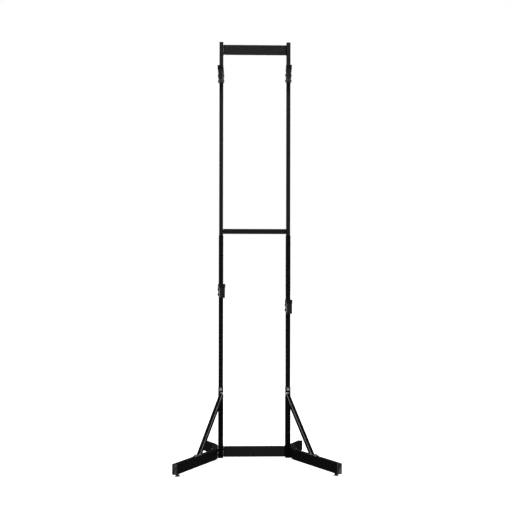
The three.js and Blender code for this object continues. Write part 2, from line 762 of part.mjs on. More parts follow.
function knobSolid(stage) {
  const tip = stage.deep / 2 + clearance;
  const blockBack = stage.deep / 2 + nutBlock.gap + nutBlock.thick;
  const headFront = stage.deep / 2 + bracket.tail + clearance;
  const collarFront = blockBack + clearance;
  const headPlace = point(0, headFront, knobHeight);
  const head = toSolid(aim(extrudeRounded(knobOutline(), knob.thick, knob.edge), headPlace, back));
  const inHead = headFront + knob.edge;
  const collar = rod(knob.collar, inHead - collarFront, point(0, collarFront, knobHeight), back);
  const stud = rod(studSize.shank / 2, inHead - tip, point(0, tip, knobHeight), back);
  return join([head, collar, stud]);
}

const upperStage = { wide: upperPostWide, deep: upperPostDeep };
const middleStage = { wide: middlePostWide, deep: middlePostDeep };

// Each arm is set askew within its bracket's play: turn is the angle in degrees by which it points
// to the right of straight ahead.
const arms = [
  { name: 'upper_left', side: sides[0], seat: upperLeftSeat, stage: upperStage, turn: -1.5 },
  { name: 'upper_right', side: sides[1], seat: upperRightSeat, stage: upperStage, turn: -2.7 },
  { name: 'lower_left', side: sides[0], seat: lowerLeftSeat, stage: middleStage, turn: 2.2 },
  { name: 'lower_right', side: sides[1], seat: lowerRightSeat, stage: middleStage, turn: -1.1 },
];

function addBase() {
  for (const side of sides) {
    addNode(`${side.name}_base_leg`, legSolid(side), steel);
    for (const [end, isFront] of [['front', true], ['rear', false]]) {
      addNode(`leg_cap_${end}_${side.name}`, legCap(side, isFront), plastic);
      addNode(`foot_${end}_${side.name}`, footSolid(), nylon, footPlace(side, isFront).setZ(0));
    }
    addNode(`${side.name}_base_post`, basePost(side), steel, point(postX(side), 0, 0));
    addNode(`${side.name}_brace`, braceSolid(side), steel);
    addNode(`brace_upper_bolt_${side.name}`, braceUpperBolt(side), zinc);
    addNode(`brace_lower_bolt_${side.name}`, braceLowerBolt(side), zinc);
    const [low, high] = baseBoltHeights;
    addNode(`base_bolt_low_${side.name}`, baseBolt(side, low), zinc);
    addNode(`base_bolt_high_${side.name}`, baseBolt(side, high), zinc);
  }
  const plate = crossPiece(baseSpan, basePlateBottom, basePlate, boltM8, baseBoltHeights);
  addNode('base_cross_plate', plate, steel);
}

function addPosts() {
  for (const side of sides) {
    addNode(`${side.name}_middle_post`, middlePost(), steel, point(postX(side), 0, 0));
    addNode(`${side.name}_upper_post`, upperPost(side), steel, point(postX(side), 0, 0));
    addNode(`${side.name}_post_cap`, postCap(), plastic, point(postX(side), 0, postTop + clearance));
  }
  const bar = crossPiece(upperSpan, middleBarBottom, middleBar, boltM6, [middleBoltHeight]);
  const panel = crossPiece(upperSpan, topPanelBottom, topPanel, boltM6, panelBoltHeights);
  addNode('middle_cross_bar', bar, steel);
  addNode('top_panel', panel, steel);
}

function addArms() {
  for (const arm of arms) {
    const place = point(postX(arm.side), 0, arm.seat);
    const [upperBolt, lowerBolt] = armBoltPlaces(arm.stage);
    const add = (piece, solid, material) => {
      addNode(`${piece}_${arm.name}`, solid.rotate(0, 0, arm.turn), material, place);
    };
    add('arm_bracket', bracketSolid(arm.stage), steel);
    add('arm_tube', armTubeSolid(arm.stage), steel);
    add('cradle_pad', cradleSolid(), rubber);
    add('arm_plug', plugSolid(arm.stage), plastic);
    add('arm_bolt_high', armBolt(arm.stage, upperBolt), zinc);
    add('arm_bolt_low', armBolt(arm.stage, lowerBolt), zinc);
    add('clamp_knob', knobSolid(arm.stage), plastic);
  }
}

addBase();
addPosts();
addArms();

export default frame;
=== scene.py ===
# %% [markdown]
# # A two-tier bicycle rack
#
# The rack is a free-standing steel frame with two tiers of arms, one above the other. Two
# telescoping posts stand on bent legs, and four padded arms slide on the posts and lock with a hand
# knob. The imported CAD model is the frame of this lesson: it says where every piece goes and what
# moves with what. Each piece is then made again as a finer surface, laid exactly over the solid
# that it stands for, and given a procedural finish. All lengths are in metres, so sizes that a
# maker would state in millimetres are multiplied by mm.

# %% Load the frame
import math

import bpy
import numpy as np
from mathutils import Matrix, Vector


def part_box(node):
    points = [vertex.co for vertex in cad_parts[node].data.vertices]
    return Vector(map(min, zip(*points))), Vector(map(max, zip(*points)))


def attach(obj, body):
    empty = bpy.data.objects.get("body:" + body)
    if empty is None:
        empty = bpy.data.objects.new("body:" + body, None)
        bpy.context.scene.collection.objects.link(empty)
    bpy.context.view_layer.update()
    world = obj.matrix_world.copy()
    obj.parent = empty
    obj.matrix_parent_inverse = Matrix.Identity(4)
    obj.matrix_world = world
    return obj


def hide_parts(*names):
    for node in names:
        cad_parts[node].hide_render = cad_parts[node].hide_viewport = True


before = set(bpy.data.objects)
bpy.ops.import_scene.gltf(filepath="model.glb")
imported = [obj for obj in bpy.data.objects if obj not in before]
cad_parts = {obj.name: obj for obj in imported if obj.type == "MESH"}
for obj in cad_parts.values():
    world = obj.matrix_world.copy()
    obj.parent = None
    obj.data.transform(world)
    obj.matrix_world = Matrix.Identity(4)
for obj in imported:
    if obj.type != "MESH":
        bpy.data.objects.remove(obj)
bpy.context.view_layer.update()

mm = 0.001

# %% [markdown]
# ## Camera
#
# The photograph is taken from a little left of the rack, about five metres away and at half its
# height, with a long lens. A camera in Blender looks along its own -Z with +Y up, so it is first
# tipped by a right angle to look along +Y, and then gets its small turn, tilt and roll. Using three
# rotations in a row keeps each of them readable, where a target to look at would hide the roll.

# %% Camera
camera_place = (-0.175, -5.31665, 0.984)
turn_right, tilt_up, roll = math.radians(1.92), math.radians(0.2075), math.radians(0.11)

lens = bpy.data.cameras.new("camera")
lens.sensor_width = 36
lens.lens = 77.65
camera = bpy.data.objects.new("camera", lens)
bpy.context.scene.collection.objects.link(camera)
camera.matrix_world = (
    Matrix.Translation(camera_place)
    @ Matrix.Rotation(-turn_right, 4, "Z")
    @ Matrix.Rotation(math.pi / 2 + tilt_up, 4, "X")
    @ Matrix.Rotation(roll, 4, "Z")
)
bpy.context.scene.camera = camera
bpy.context.scene.view_settings.view_transform = "Standard"
print("camera at", camera_place, "with a lens of", lens.lens, "mm")

# %% [markdown]
# ## Nodes and colours
#
# Every finish in this lesson is a small tree of shader nodes. One function adds a node with its
# settings, its fixed inputs and its links, which keeps the trees short enough to read. Colours are
# picked as the eye sees them, in sRGB, and a shader works in linear light, so one function converts
# them.

# %% Helpers for materials
def linear(colour):
    """Linear RGBA of an sRGB hex colour: ((c + 0.055) / 1.055) to the power 2.4 for each channel c,
    or c / 12.92 where it is very dark."""
    c = np.array([int(colour[i:i + 2], 16) for i in (0, 2, 4)]) / 255
    light = np.where(c > 0.04045, ((c + 0.055) / 1.055) ** 2.4, c / 12.92)
    return (*light.tolist(), 1.0)


def add_node(tree, kind, values=None, links=None, **settings):
    """Adds one node: settings are its own options, values its fixed inputs and links its linked
    ones."""
    node = tree.nodes.new("ShaderNode" + kind)
    for name, value in settings.items():
        setattr(node, name, value)
    for socket, value in (values or {}).items():
        node.inputs[socket].default_value = value
    for socket, source in (links or {}).items():
        tree.links.new(source, node.inputs[socket])
    return node


def new_tree(name):
    """An empty material with its output node."""
    material = bpy.data.materials.new(name)
    material.use_nodes = True
    tree = material.node_tree
    tree.nodes.clear()
    return material, tree, add_node(tree, "OutputMaterial")


print("white is", linear("ffffff"), "and mid grey is", np.round(linear("808080"), 3).tolist())

# %% [markdown]
# ## Floor and light
#
# The rack stands in a plain white studio. A floor of real white paint under soft lamps would be
# grey at the far end, so the floor adds a little light of its own, but only for what the camera
# sees directly or in a mirror. It still darkens where the rack keeps the lamps off it, which leaves
# a shadow under the feet and legs. The world is white to the camera and to mirrors as well. What it
# sheds as light is another matter, and there it is brighter behind the rack than in front. Four
# softboxes add to it: a key on the left, a fill on the right, one overhead and one high behind the
# camera, which lights the front faces about as plainly as their colours are written.

# %% Floor, world and lamps
floor_half = 30
floor_mesh = bpy.data.meshes.new("floor")
floor_mesh.from_pydata(
    [(-floor_half, -floor_half, 0), (floor_half, -floor_half, 0),
     (floor_half, floor_half, 0), (-floor_half, floor_half, 0)], [], [(0, 1, 2, 3)])
floor = bpy.data.objects.new("floor", floor_mesh)
bpy.context.scene.collection.objects.link(floor)


def seen_directly(tree):
    """One for the camera's rays and for those that a mirror or clear plastic passes on, and zero
    for the rest."""
    ray = add_node(tree, "LightPath").outputs
    mirrored = add_node(tree, "Math", operation="MAXIMUM",
                        links={0: ray["Is Glossy Ray"], 1: ray["Is Transmission Ray"]})
    return add_node(tree, "Math", operation="MAXIMUM",
                    links={0: ray["Is Camera Ray"], 1: mirrored.outputs[0]}).outputs[0]


studio_paint, tree, output = new_tree("studio_white_paint")
paint = add_node(tree, "BsdfDiffuse", {"Color": linear("e4e4e4")})
shade = add_node(tree, "BsdfDiffuse", {"Color": linear("8c8c8c")})
glow = add_node(tree, "Emission", {"Color": linear("ffffff"), "Strength": 0.8})
seen = add_node(tree, "AddShader", links={0: paint.outputs[0], 1: glow.outputs[0]})
floor_mix = add_node(tree, "MixShader",
                     links={0: seen_directly(tree), 1: shade.outputs[0], 2: seen.outputs[0]})
tree.links.new(floor_mix.outputs[0], output.inputs["Surface"])
floor_mesh.materials.append(studio_paint)

world = bpy.data.worlds.new("studio")
bpy.context.scene.world = world
world.use_nodes = True
tree = world.node_tree
tree.nodes.clear()
direction = add_node(tree, "TexCoord")
parts = add_node(tree, "SeparateXYZ", links={0: direction.outputs["Generated"]})
front_light, back_light = 0.2, 0.85
depth = add_node(tree, "MapRange", {"From Min": -0.7, "From Max": 0.9,
                                    "To Min": front_light, "To Max": back_light},
                 {"Value": parts.outputs["Y"]})
room = add_node(tree, "Background", {"Color": linear("ffffff")}, {"Strength": depth.outputs[0]})
white = add_node(tree, "Background", {"Color": linear("ffffff"), "Strength": 1})
world_mix = add_node(tree, "MixShader",
                     links={0: seen_directly(tree), 1: room.outputs[0], 2: white.outputs[0]})
add_node(tree, "OutputWorld", links={0: world_mix.outputs[0]})


def add_lamp(name, place, aim_at, size, watts):
    """Square softbox of a size in metres that faces a point."""
    light = bpy.data.lights.new(name, "AREA")
    light.shape = "SQUARE"
    light.size = size
    light.energy = watts
    lamp = bpy.data.objects.new(name, light)
    bpy.context.scene.collection.objects.link(lamp)
    lamp.rotation_euler = (Vector(aim_at) - Vector(place)).to_track_quat("-Z", "Y").to_euler()
    lamp.location = place


rack_middle = (0, 0, 1)
add_lamp("key_softbox", (-3.4, -2.6, 2.6), rack_middle, 2.2, 60)
add_lamp("fill_softbox", (3.6, -1.8, 1.6), rack_middle, 1.6, 35)
add_lamp("top_softbox", (0, 0.3, 4.4), rack_middle, 2.6, 60)
add_lamp("front_softbox", (0.2, -6.2, 4.2), rack_middle, 1.6, 200)

# %% [markdown]
# ## Finishes
#
# Nearly all of the rack is black, so its materials differ by sheen and grain rather than by colour:
# powder-coated steel in four variants, moulded rubber, moulded plastic, and the plated fasteners.
# Of the coats, two are darker and duller copies that paint in the shade lower down the rack, and
# one adds pale lines at sharp edges as painted highlights. They share one recipe. Two near tones
# drift into each other over a few centimetres, as handling and the batch of paint leave them. A
# fine grain lifts the surface and breaks up the highlight. Where the surface turns sharply the
# colour is paler: partly rubbed coat, partly a painted highlight where an edge catches the light.
# The recipe is a function of the real grain size, so each finish is one call.

# %% The shared recipe
cloud_size, patch_size = 45 * mm, 9 * mm
# Between these pointiness values sharp edges turn paler, as rubbed coat and as painted highlight.
rub_and_glint_from, rub_and_glint_full = 0.515, 0.6  # Pointiness, which is 0.5 where the surface is flat


def finish(name, tones, roughness, grain, relief, wear_and_glint_colour, wear_and_glint, metallic=0.0, ior=1.5, gloss=0.5):
    """Material with a mottled colour, a fine grain and paler sharp edges, which are partly rubbed
    coat and partly a painted highlight where an edge catches the light. tones are two hex colours,
    roughness its least and greatest value, grain the width of one bump, relief its height, worn the
    colour of the paler edges, wear how far that tint goes, from 0 through patchy at 1 to full at 5,
    and gloss the share of the mirrored light, where 0.5 is all that the IOR gives."""
    material, tree, output = new_tree(name)
    place = add_node(tree, "TexCoord").outputs["Object"]
    cloud = add_node(tree, "TexNoise", {"Scale": 1 / cloud_size, "Detail": 4}, {"Vector": place})
    colour = add_node(tree, "Mix", {6: linear(tones[0]), 7: linear(tones[1])},
                      {0: cloud.outputs[0]}, data_type="RGBA")
    bumps = add_node(tree, "TexNoise", {"Scale": 1 / grain, "Detail": 2}, {"Vector": place})
    # Sharp edges, picked out by pointiness, are tinted paler: partly rubbed coat, partly painted
    # highlight.
    edges = add_node(tree, "MapRange", {"From Min": rub_and_glint_from, "From Max": rub_and_glint_full, "To Max": wear_and_glint},
                     {"Value": add_node(tree, "NewGeometry").outputs["Pointiness"]})
    patches = add_node(tree, "TexNoise", {"Scale": 1 / patch_size, "Detail": 3}, {"Vector": place})
    rubbed_and_glint = add_node(tree, "Math", links={0: edges.outputs[0], 1: patches.outputs[0]},
                      operation="MULTIPLY")
    tint = add_node(tree, "Mix", {7: linear(wear_and_glint_colour)},
                    {0: rubbed_and_glint.outputs[0], 6: colour.outputs[2]}, data_type="RGBA")
    sheen = add_node(tree, "MapRange", {"From Min": 0.3, "From Max": 0.7,
                                        "To Min": roughness[0], "To Max": roughness[1]},
                     {"Value": patches.outputs[0]})
    bump = add_node(tree, "Bump", {"Strength": 0.6, "Distance": relief},
                    {"Height": bumps.outputs[0]})
    shader = add_node(tree, "BsdfPrincipled",
                      {"Metallic": metallic, "IOR": ior, "Specular IOR Level": gloss},
                      {"Base Color": tint.outputs[2], "Roughness": sheen.outputs[0],
                       "Normal": bump.outputs[0]})
    tree.links.new(shader.outputs[0], output.inputs["Surface"])
    return material


print("tones drift over", cloud_size, "m and rubbed patches are about", patch_size, "m wide")

# %% The finishes
# Polyester powder coat on steel: satin, with the faint orange peel of powder that melted and ran.
powder_coat = finish("satin_black_powder_coat", ("0c0c0d", "121213"), (0.38, 0.5),
                     1.4 * mm, 0.03 * mm, "3a3b3d", 0.5, gloss=0.06)
# The same coat for the middle stage, a little darker and with less sheen: painted shade, as the
# light falls off down the posts.
middle_shaded_coat = finish("middle_shaded_black_powder_coat", ("0a0a0b", "0f0f10"), (0.5, 0.62),
                     1.4 * mm, 0.03 * mm, "3a3b3d", 0.5, gloss=0.02)
# The same coat for the base posts and legs, darker still and with almost no sheen: painted shade
# near the floor.
floor_shaded_coat = finish("floor_shaded_black_powder_coat", ("09090a", "0e0e0f"), (0.6, 0.72),
                   1.4 * mm, 0.03 * mm, "3a3b3d", 0.5, gloss=0.005)
# The same darkened tones as the coat near the floor, for the braces, with a near-white tint at the
# sharp fold and at the sawn ends: along the ridge it is a painted highlight, and at the ends partly
# a painted highlight and partly steel where powder draws back from the edge.
glint_edged_coat = finish("shaded_black_coat_painted_glints", ("09090a", "0e0e0f"), (0.6, 0.72),
                   1.4 * mm, 0.03 * mm, "e2e4e6", 5, gloss=0.005)
# Compression-moulded black rubber: dull, finely pitted, greyed where it is rubbed.
pad_rubber = finish("moulded_black_rubber", ("0e0e0e", "151514"), (0.7, 0.85),
                    0.8 * mm, 0.05 * mm, "2e2e2d", 0.5, gloss=0.05)
# Glass-filled nylon, injection moulded: satin with an even spark-eroded grain.
knob_plastic = finish("moulded_black_nylon", ("111112", "171718"), (0.5, 0.62),
                      0.6 * mm, 0.04 * mm, "343537", 0.4, ior=1.53, gloss=0.08)
# Polyethylene, injection moulded: softer sheen and greyer than the paint beside it. Its sharp
# rims take a pale grey tint: a painted highlight where the caps' edges catch the light.
cap_plastic = finish("moulded_grey_polyethylene", ("1e1f20", "262728"), (0.5, 0.62),
                     0.7 * mm, 0.04 * mm, "8a8b8e", 0.8, ior=1.51, gloss=0.06)
# Zinc plate on steel, dulled in use: still silvery beside the coat, cloudy from the passivation.
dull_zinc = finish("dulled_zinc_plate", ("6a6d6f", "595d60"), (0.34, 0.48),
                   0.5 * mm, 0.02 * mm, "a4a6a8", 0.5, metallic=1.0)
# Black zinc plate on steel: nearly black metal with a dull gleam.
black_zinc = finish("black_zinc_plate", ("222325", "2e3032"), (0.34, 0.48),
                    0.5 * mm, 0.02 * mm, "77797c", 0.6, metallic=1.0)
# Nylon, injection moulded: dark and even, for the cone, hexagon and stud of a foot.
glide_plastic = finish("moulded_dark_nylon", ("17181a", "202122"), (0.5, 0.65),
                       0.6 * mm, 0.04 * mm, "46474a", 0.5, ior=1.53, gloss=0.1)
print("finishes", sorted(m.name for m in bpy.data.materials))

# %% [markdown]
# ## Surfaces from grids
#
# Every new piece is a closed surface over a grid of points: one direction runs round a section, the
# other from section to section. numpy works out all the points of a grid at once, and the faces are
# the grid's cells. A tube's wall is such a grid closed both ways, outside, end, inside, end. A
# solid bar is closed round its section and capped at both ends. Modelling by hand with extrusions
# would give the same shapes, but a formula keeps the true sizes in sight.

# %% Grids to meshes
sharp_angle = math.radians(38)


def shell(rows, wrapped=False):
    """Closed surface over rows[i, j], point j round section i: each cell of the grid is one face.
    Wrapped joins the last section to the first, and otherwise both end sections are capped. The
    volume is the sum of a . (b x c) / 6 over triangles, and where it is negative the faces turn."""
    count, around = rows.shape[:2]
    index = np.arange(count * around).reshape(count, around)
    near, far = (index, np.roll(index, -1, 0)) if wrapped else (index[:-1], index[1:])
    cells = np.stack([near, np.roll(near, -1, 1), np.roll(far, -1, 1), far], -1).reshape(-1, 4)
    points = rows.reshape(-1, 3)
    a, b, c, d = (points[cells[:, k]] - points.mean(0) for k in range(4))
    volume = (a * np.cross(b, c)).sum() + (a * np.cross(c, d)).sum()
    faces = cells
    caps = []
    if not wrapped:
        caps = [index[0][::-1], index[-1]]
        for cap in caps:
            ring = points[cap] - points.mean(0)
            volume += (ring[0] * np.cross(ring[1:-1], ring[2:])).sum()
    if volume < 0:
        faces, caps = faces[:, ::-1], [cap[::-1] for cap in caps]
    return points, faces.tolist() + [cap.tolist() for cap in caps]


def add_piece(name, shells, material, slot, body, *nodes):
    """One object from several closed surfaces. It rides on a body and stands for CAD nodes."""
    starts = np.cumsum([0] + [len(points) for points, _ in shells])
    points = np.concatenate([points for points, _ in shells])
    faces = [[k + int(start) for k in face]
             for start, (_, some) in zip(starts, shells) for face in some]
    mesh = bpy.data.meshes.new(name)
    mesh.from_pydata(points.tolist(), [], faces)
    mesh.shade_smooth()
    mesh.set_sharp_from_angle(angle=sharp_angle)
    mesh.materials.append(material)
    piece = bpy.data.objects.new(name, mesh)
    bpy.context.scene.collection.objects.link(piece)
    even = piece.modifiers.new("even_normals", "WEIGHTED_NORMAL")
    even.keep_sharp = True
    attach(piece, body)
    if nodes:
        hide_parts(*nodes)


print("an edge turns sharp beyond", round(math.degrees(sharp_angle)), "degrees")

# %% Outlines
def unit(vectors):
    """Vectors over their lengths."""
    vectors = np.asarray(vectors, float)
    return vectors / np.linalg.norm(vectors, axis=-1, keepdims=True)


def guard(bend, free, of_bend=0.6, of_free=0.15):
    """How far beyond a bend the surface gets its next point, and the one after it twice as far, so
    that the paler edge tint, rubbed coat and painted highlight alike, stays on the bend: a share of
    the bend, but no more than a share of the flat."""
    return np.minimum(of_bend * bend, of_free * free)


def rounded(corners, radii, steps=6):
    """Closed outline with its corners rounded. Where two sides meet at an angle of 2 h, an arc of
    radius r touches both r / tan(h) from the corner and is centred r / sin(h) away on the bisector.
    Points on the arc turn evenly from one touching point to the other, and two guard points follow
    on each side."""
    corners = np.asarray(corners, float)
    radii = np.broadcast_to(np.asarray(radii, float), len(corners))[:, None]
    to_last, to_next = np.roll(corners, 1, 0) - corners, np.roll(corners, -1, 0) - corners
    last_side, next_side = (np.linalg.norm(v, axis=1, keepdims=True) for v in (to_last, to_next))
    to_last, to_next = to_last / last_side, to_next / next_side
    half = np.arccos(np.clip((to_last * to_next).sum(1, keepdims=True), -1, 1)) / 2
    touch = radii / np.tan(half)
    centre = corners + unit(to_last + to_next) * radii / np.sin(half)
    first, final = corners + to_last * touch - centre, corners + to_next * touch - centre
    turn = (math.pi - 2 * half)[:, None]
    share = np.linspace(0, 1, steps + 1)[None, :, None]
    arc = np.sin((1 - share) * turn) * first[:, None] + np.sin(share * turn) * final[:, None]
    before = guard(touch, last_side - touch - np.roll(touch, 1, 0))
    after = guard(touch, next_side - touch - np.roll(touch, -1, 0))
    spots = [corners + to_last * (touch + 2 * before), corners + to_last * (touch + before),
             corners + to_next * (touch + after), corners + to_next * (touch + 2 * after)]
    spots = np.stack(spots, 1)
    return np.concatenate([spots[:, :2], centre[:, None] + arc / np.sin(turn), spots[:, 2:]],
                          1).reshape(-1, 2)


def rectangle(wide, tall, radius, steps=6):
    """Rounded rectangle about the origin."""
    x, y = wide / 2, tall / 2
    return rounded([(x, -y), (x, y), (-x, y), (-x, -y)], radius, steps)


def inset(outline, depth):
    """Outline moved inwards by depth. Each point goes along the mean of its two sides' normals, by
    depth over the cosine of half the turn between them."""
    ahead = np.roll(outline, -1, 0) - outline
    x, y = outline.T
    area = (x * np.roll(y, -1) - y * np.roll(x, -1)).sum()
    normal = unit(np.stack([-ahead[:, 1], ahead[:, 0]], 1)) * np.sign(area)
    mean = unit(normal + np.roll(normal, 1, 0))
    return outline + depth * mean / (mean * normal).sum(1, keepdims=True)


face_guards = np.array((2.2, 1.6))  # how many edges in from the side an end face has guard rows


def slab(outline, thick, edge, dish=None, steps=3):
    """Outline carried through a thickness, with both rims rounded by edge: at an angle a round the
    rim the outline is drawn in by edge (1 - sin a) at a height of edge (1 - cos a), with two guard
    rows on each side of the rim. A dish (border, depth) sinks the far face inside a border."""
    a = np.linspace(0, math.pi / 2, steps + 1)
    draw, rise = edge * (1 - np.sin(a)), edge * (1 - np.cos(a))
    further = guard(edge, thick - 2 * edge) * np.array((1, 2))
    draw = np.concatenate([face_guards * edge, draw, [0, 0]])
    rise = np.concatenate([[0, 0], rise, edge + further])
    draws = np.concatenate([draw, draw[::-1]])
    heights = np.concatenate([rise, thick - rise[::-1]])
    if dish:
        border, depth = dish
        draws = np.concatenate([draws, [border, border + depth, border + 2 * depth]])
        heights = np.concatenate([heights, [thick, thick - depth, thick - depth]])
    return np.stack([np.column_stack([inset(outline, d), np.full(len(outline), h)])
                     for d, h in zip(draws, heights)])


def placed(local, origin, across, upright):
    """Local grid put in the rack: its x runs along across, its y along upright and its z along the
    direction square to both."""
    across, upright = unit(across), unit(upright)
    axes = np.stack([across, upright, np.cross(across, upright)])
    return np.asarray(origin, float) + local @ axes


x_axis, y_axis, z_axis = (1, 0, 0), (0, 1, 0), (0, 0, 1)
print("a rounded rectangle has", len(rectangle(2, 1, 0.1)), "points round it")

# %% [markdown]
# ## Tubes
#
# The posts, legs and arms are rectangular steel tube, rolled and welded, so the corners are round
# and the sawn ends have a trace of a break. A cube with a bevel would look right from outside, but
# the rack shows its open ends where one stage enters the next, so each tube gets a real wall.

# %% Tubes
def tube(outline, length, wall, edge=0.3 * mm, steps=2):
    """Straight tube: a slab whose two end faces stop at the wall's inner side. The grid is closed
    both ways, so that its last cells are the bore."""
    solid = slab(outline, length, edge, steps=steps)
    bore = inset(outline, wall)
    ends = [np.column_stack([bore, np.full(len(bore), h)])[None] for h in (0, length)]
    return np.concatenate([ends[0], solid, ends[1]])


post_x, post_y = 165 * mm, 116.35 * mm
wall, corner = 1.2 * mm, 2.5 * mm
stages = {  # width, depth, bottom, top
    "base": (25.4 * mm, 38.1 * mm, 13 * mm, 360 * mm),
    "middle": (22.4 * mm, 35.1 * mm, 250 * mm, 1105 * mm),
    "upper": (19.4 * mm, 32.1 * mm, 995 * mm, 2051 * mm),
}
# The lower stages get the darker, duller copies of the coat: painted shade that deepens towards the
# floor.
coats = {"base": floor_shaded_coat, "middle": middle_shaded_coat, "upper": powder_coat}
sides = {"left": -1, "right": 1}
for side, sign in sides.items():
    for stage, (wide, deep, bottom, top) in stages.items():
        local = tube(rectangle(wide, deep, corner), top - bottom, wall)
        rows = placed(local, (sign * post_x, post_y, bottom), x_axis, y_axis)
        add_piece(f"{side}_{stage}_tube", [shell(rows, wrapped=True)], coats[stage], "powder_coat",
                  "frame", f"{side}_{stage}_post")
print("posts stand at x =", -post_x, "and", post_x)

# %% [markdown]
# ## Legs
#
# Each leg is one tube bent twice: straight beside the post, then swept outwards at both ends. The
# section keeps its shape along the path, so the surface is the section carried along the bent
# centre line. Both bends are arcs of one radius, and each section stands square to the line.

# %% Legs
leg_wide, leg_tall, leg_wall, leg_corner = 25 * mm, 50 * mm, 1.5 * mm, 4 * mm
leg_bottom, leg_line, bend_radius = 13 * mm, 25.5 * mm, 154.5 * mm
splay = math.radians(25.3)
middle_front, middle_back = 15 * mm, 62 * mm
cap_thick = 4 * mm
front_reach, rear_reach = (reach * mm - cap_thick * math.cos(splay) for reach in (438.5, 205.8))
bend_sections, end_sections, end_step = 25, 3, 1 * mm


def leg_stations(sign):
    """Points and headings of a leg's centre line from rear to front. On a bend that has turned by
    t, the line is R (1 - cos t) further out and R sin t further along, and past it the line is
    straight. Guard sections lie close to each end."""
    t = np.linspace(0, splay, bend_sections)
    out, along = bend_radius * (1 - np.cos(t)), bend_radius * np.sin(t)

    def past_bend(reach, middle):
        return leg_line + out[-1] + (reach - middle - along[-1]) * math.tan(splay)

    rear, front = (reach - np.arange(end_sections) * end_step
                   for reach in (rear_reach, front_reach))
    u = np.concatenate([past_bend(rear, middle_back), leg_line + out[::-1], leg_line + out,
                        past_bend(front, middle_front)[::-1]])
    y = np.concatenate([rear, middle_back + along[::-1], -middle_front - along, -front[::-1]])
    heading = np.concatenate([[-splay] * end_sections, -t[::-1], t, [splay] * end_sections])
    height = np.full_like(u, leg_bottom + leg_tall / 2)
    points = np.stack([sign * (post_x + u), post_y + y, height], 1)
    forwards = np.stack([sign * np.sin(heading), -np.cos(heading), np.zeros_like(u)], 1)
    return points, forwards


def carried(outline, points, forwards):
    """Outline carried along a level line: its x runs square to the heading, its y straight up."""
    across = np.cross(forwards, z_axis)[:, None]
    return points[:, None] + outline[:, :1] * across + outline[:, 1:] * np.array(z_axis)


leg_outline = rectangle(leg_wide, leg_tall, leg_corner)
for side, sign in sides.items():
    points, forwards = leg_stations(sign)
    outside = carried(leg_outline, points, forwards)
    inside = carried(inset(leg_outline, leg_wall), points, forwards)[::-1]
    add_piece(f"{side}_leg_tube", [shell(np.concatenate([outside, inside]), wrapped=True)],
              floor_shaded_coat, "powder_coat", "frame", f"{side}_base_leg")
print("the legs turn", round(math.degrees(splay), 1), "degrees at each bend")

# %% [markdown]
# ## End caps and plugs
#
# The open ends of the tubes are closed with moulded plastic plugs: a thin flange as large as the
# tube with a softened rim, and an insert that grips inside. A shallow dish in the flange is what a
# mould leaves where the plastic would otherwise sink by itself.

# %% End caps
gap = 0.3 * mm  # between pieces that fit into or against each other
insert_edge = 0.6 * mm


def plug(outline, thick, edge, dish, insert_outline, insert):
    """Flange from 0 up and insert below 0, as two local grids."""
    flange = slab(outline, thick, edge, dish)
    stem = slab(insert_outline, insert + edge, insert_edge)
    return flange, stem - np.array((0, 0, insert))


leg_insert = inset(leg_outline, leg_wall + gap)
for side, sign in sides.items():
    points, forwards = leg_stations(sign)
    for end, k, way in (("front", -1, 1), ("rear", 0, -1)):
        out = way * forwards[k]
        across = np.cross(z_axis, out)
        grids = plug(leg_outline, cap_thick - gap, edge=1.5 * mm, dish=(4 * mm, 0.5 * mm),
                     insert_outline=leg_insert, insert=16 * mm)
        shells = [shell(placed(grid, points[k] + gap * out, across, z_axis)) for grid in grids]
        add_piece(f"leg_end_cap_{end}_{side}", shells, cap_plastic, "cap_plastic", "frame",
                  f"leg_cap_{end}_{side}")
    wide, deep, _, top = stages["upper"]
    outline = rectangle(wide, deep, corner)
    grids = plug(outline, 3 * mm, edge=0.9 * mm, dish=None,
                 insert_outline=inset(outline, wall + gap), insert=18 * mm)
    shells = [shell(placed(grid, (sign * post_x, post_y, top + gap), x_axis, y_axis))
              for grid in grids]
    add_piece(f"{side}_post_top_cap", shells, cap_plastic, "cap_plastic", "frame",
              f"{side}_post_cap")

# %% [markdown]
# ## Turned and threaded pieces
#
# Feet, bolts and knob studs are round or hexagonal about an axis. A turned surface is a profile of
# radius against height, swung round the axis. If the radius also depends on the angle, the same
# grid gives a hexagon, a star knob or a screw thread: along a thread the radius rises and falls
# once for every pitch of height or full turn of angle.

# %% Turning
around_turned, around_thread, around_knob = 48, 24, 72  # points round each kind of turned piece


def full_turn(around):
    """Angle of each point j round a turned piece: 2 pi j over the number of points."""
    return np.arange(around) * 2 * math.pi / around


def turned(radii, heights, around=around_turned):
    """Grid of a turned piece: radii[i] or radii[i, j] at heights[i] and angle j."""
    angle = full_turn(around)
    radii = np.asarray(radii, float)
    radii = radii if radii.ndim == 2 else np.repeat(radii[:, None], around, 1)
    heights = np.repeat(np.asarray(heights, float)[:, None], around, 1)
    return np.stack([radii * np.cos(angle), radii * np.sin(angle), heights], -1)


def hexagon(angle, flats):
    """Radius of a hexagon: half its width across flats over the cosine of the angle from the middle
    of the nearest flat."""
    return flats / 2 / np.cos((angle + math.pi / 6) % (math.pi / 3) - math.pi / 6)


def hex_block(flats, tall, low_chamfer=True, base=0.95, slope=1.73, chamfer=0.13):
    """Hexagon with its corners turned off: the radius is the smaller of the hexagon's and a cone's,
    which starts at base times half the flats and spreads by slope for each unit of height."""
    chamfered = chamfer * flats / 2  # a little higher than where the cone passes the corners
    low = np.linspace(0, chamfered, 5) if low_chamfer else np.array([0.0])
    heights = np.concatenate([low, tall - np.linspace(chamfered, 0, 5)])
    to_end = np.minimum(heights if low_chamfer else tall, tall - heights)[:, None]
    hexagonal = hexagon(full_turn(around_turned), flats)[None]
    return turned(np.minimum(hexagonal, base * flats / 2 + slope * to_end), heights)


